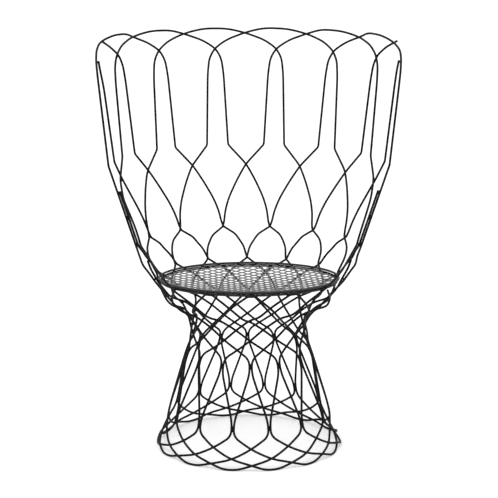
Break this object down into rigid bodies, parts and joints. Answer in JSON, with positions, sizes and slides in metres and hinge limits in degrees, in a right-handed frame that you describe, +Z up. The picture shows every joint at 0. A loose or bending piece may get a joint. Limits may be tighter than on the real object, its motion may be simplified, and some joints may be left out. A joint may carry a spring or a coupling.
{
  "type": "outdoor wire armchair",
  "caption": "High-backed outdoor armchair of bent steel rods, with overlapping arches, a flared wire base and a round expanded metal seat.",
  "frame": {"origin": "on the floor, under the axis of the round seat and base", "axes": "+Z up, +Y towards the high back, so that the sitter faces -Y, and +X to the left of the sitter's back, right in a front view"},
  "size_m": [0.7401, 0.6033, 1.0109],
  "materials": {
    "rod_coat": "fine textured satin powder coat on bent round steel rod",
    "mesh_coat": "fine textured satin powder coat on expanded steel sheet"
  },
  "bodies": {
    "root": {"back_arch_1": "rod_coat", "back_arch_2": "rod_coat", "back_arch_3": "rod_coat", "back_arch_4": "rod_coat", "back_arch_5": "rod_coat", "back_arch_6": "rod_coat", "half_arch_left": "rod_coat", "half_arch_right": "rod_coat", "side_leg_left": "rod_coat", "side_leg_right": "rod_coat", "short_leg_left": "rod_coat", "short_leg_right": "rod_coat", "base_rod_01": "rod_coat", "base_rod_02": "rod_coat", "base_rod_03": "rod_coat", "base_rod_04": "rod_coat", "base_rod_05": "rod_coat", "base_rod_06": "rod_coat", "base_rod_07": "rod_coat", "base_rod_08": "rod_coat", "base_rod_09": "rod_coat", "base_rod_10": "rod_coat", "base_rod_11": "rod_coat", "base_rod_12": "rod_coat", "base_rod_13": "rod_coat", "base_rod_14": "rod_coat", "seat_hoop_upper": "rod_coat", "seat_hoop_lower": "rod_coat", "seat_mesh": "mesh_coat"}
  },
  "joints": []
}
